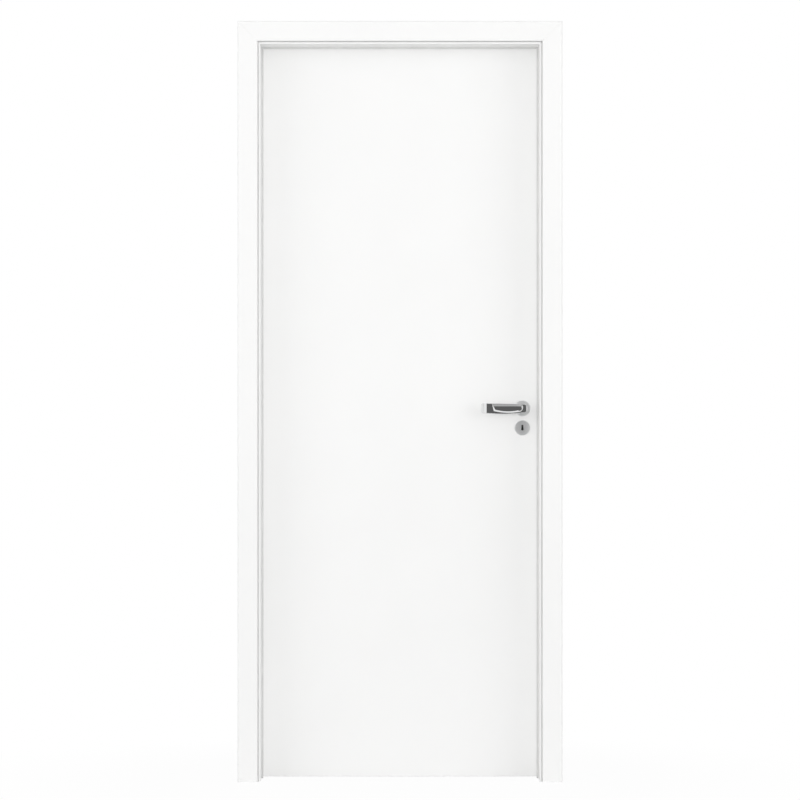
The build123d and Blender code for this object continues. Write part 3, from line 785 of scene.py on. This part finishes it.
    def dome(self, sides: Span, heights: Span) -> np.ndarray:
        """A part of a sphere around the handle, on a grid of two angles.

        Across is the sine of the side angle and towards the camera its cosine, both times the
        cosine of the height angle, and up is the sine of the height angle, all times the radius.

        Args:
            sides: The side angles from the middle, in degrees, to the right.
            heights: The height angles, in degrees.

        Returns:
            The grid of points.
        """
        side = np.radians(np.linspace(*sides, self.card_steps))[:, None]
        height = np.radians(np.linspace(*heights, self.card_steps))[None, :]
        across = np.sin(side) * np.cos(height)
        away = -np.cos(side) * np.cos(height)
        up = np.sin(height) * np.ones_like(side)
        ball = np.stack([across, away, up], axis=-1)
        return np.array(self.card_centre) + self.card_radius * ball

    def ground(self, across: Span, away: Span) -> np.ndarray:
        """A flat grid just above the floor.

        Args:
            across: Where it starts and ends along X.
            away: Where it starts and ends along Y.

        Returns:
            The grid of points.
        """
        columns = np.linspace(*across, self.card_steps)
        rows = np.linspace(*away, self.card_steps)
        side, depth = np.meshgrid(columns, rows, indexing="ij")
        return np.stack([side, depth, np.full_like(side, self.ground_height)], axis=-1)

    def card(self, name: str, grid: np.ndarray, finish: bpy.types.Material) -> None:
        """A glowing grey card that only mirrors see, which paints reflections on the chrome.

        Args:
            name: The card's name.
            grid: Its points, as row by column by (X, Y, Z).
            finish: Its tone.
        """
        steps = self.card_steps
        row = steps * np.arange(steps - 1)[:, None] + np.arange(steps - 1)
        faces = np.stack([row, row + 1, row + steps + 1, row + steps], axis=-1).reshape(-1, 4)
        card = mesh_piece(name, grid.reshape(-1, 3), faces.tolist(), finish)
        card.visible_camera = False
        card.visible_diffuse = False
        card.visible_shadow = False
        card.visible_transmission = False

    def camera(self) -> None:
        """A long lens, level, straight in front of the middle of the frame."""
        data = bpy.data.cameras.new("camera")
        data.sensor_width = self.sensor
        data.lens = self.focal_pixels / self.image_pixels * self.sensor
        data.clip_end = self.sight
        camera = bpy.data.objects.new("camera", data)
        bpy.context.scene.collection.objects.link(camera)
        camera.location = self.camera_place
        camera.rotation_euler = (math.pi / 2.0, 0.0, 0.0)
        bpy.context.scene.camera = camera

    def build(self) -> None:
        """Set up the studio around the door."""
        bpy.context.scene.view_settings.view_transform = "Standard"
        self.world()
        self.floor()
        self.lamp("right_lamp", self.right_place, self.lamp_size, self.right_power, True)
        self.lamp("left_lamp", self.left_place, self.lamp_size, self.left_power, False)
        self.lamp("front_lamp", self.front_place, self.front_size, self.front_power, False)
        # Painted reflections: glowing grey cards that only mirrors see.
        grey = self.painted_reflection_finish()
        self.card("front_reflection_card", self.dome(*self.front_reflection_card), grey)
        self.card("side_reflection_card", self.dome(*self.side_reflection_card), grey)
        self.card("floor_reflection_card", self.ground(*self.floor_reflection_card), grey)
        self.camera()


def main() -> None:
    """Dress the frame and the leaf, add the screws, and set the studio."""
    logging.basicConfig(level=logging.INFO, format="%(name)s: %(message)s")
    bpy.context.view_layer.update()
    screw_finish = SCREW_STEEL.material()
    DoorFrame().dress()
    hinges, lock = Hinges(), Lock()
    hinges.dress()
    hinges.build(screw_finish)
    Leaf().dress()
    lock.dress()
    lock.build(screw_finish)
    HandleSet().dress()
    Studio().build()


if __name__ == "__main__":
    main()
